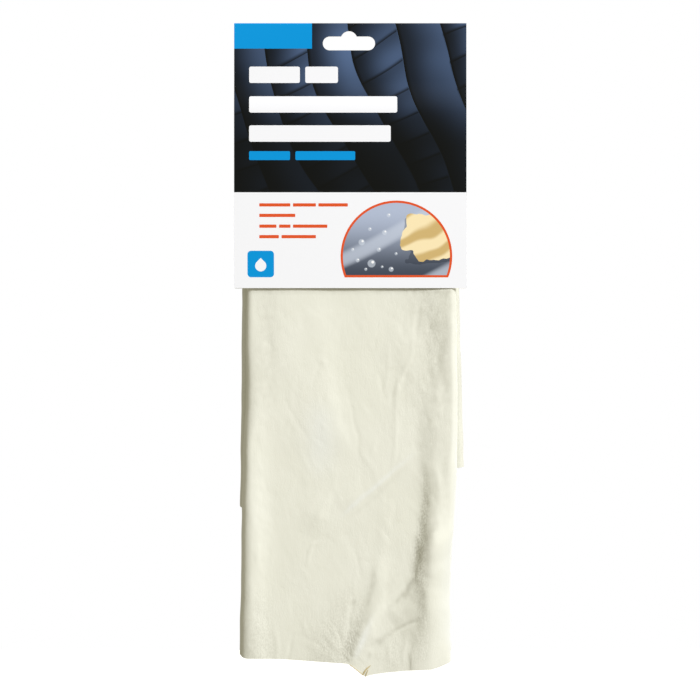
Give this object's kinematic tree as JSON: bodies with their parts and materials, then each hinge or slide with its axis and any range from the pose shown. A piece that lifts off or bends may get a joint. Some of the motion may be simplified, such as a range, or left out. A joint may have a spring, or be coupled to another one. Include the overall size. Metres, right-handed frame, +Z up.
{
  "type": "chamois leather",
  "caption": "Cream chamois leather rolled flat into layers and hung in two bundles from a creased header card with a hang slot.",
  "frame": {"origin": "top of the hang slot's hump, where a display hook bears, midway between the card's two panels", "axes": "+Z up as the pack hangs, -Y out of the printed front, +X to the right seen from the front"},
  "size_m": [0.142, 0.0246, 0.3994],
  "materials": {
    "printed_board": "satin printed and varnished board, white on its unprinted side",
    "adhesive_tape": "double-sided adhesive strip",
    "staple_wire": "bright galvanised wire",
    "chamois_skin": "soft suede nap, pale cream, no coating"
  },
  "bodies": {
    "card": {"header_card": "printed_board", "closure_tape": "adhesive_tape", "staple_left": "staple_wire", "staple_right": "staple_wire", "leather_fold": "chamois_skin"},
    "front_tail": {"front_tail": "chamois_skin"},
    "rear_tail": {"rear_tail": "chamois_skin"}
  },
  "joints": [
    {"name": "front_tail_swing", "type": "hinge", "parent": "card", "child": "front_tail", "pos_m": [0, 0.00155, -0.1609], "axis": [-1, 0, 0], "range_deg": [0, 90]},
    {"name": "rear_tail_swing", "type": "hinge", "parent": "card", "child": "rear_tail", "pos_m": [0, 0.00975, -0.1609], "axis": [1, 0, 0], "range_deg": [0, 90]}
  ]
}
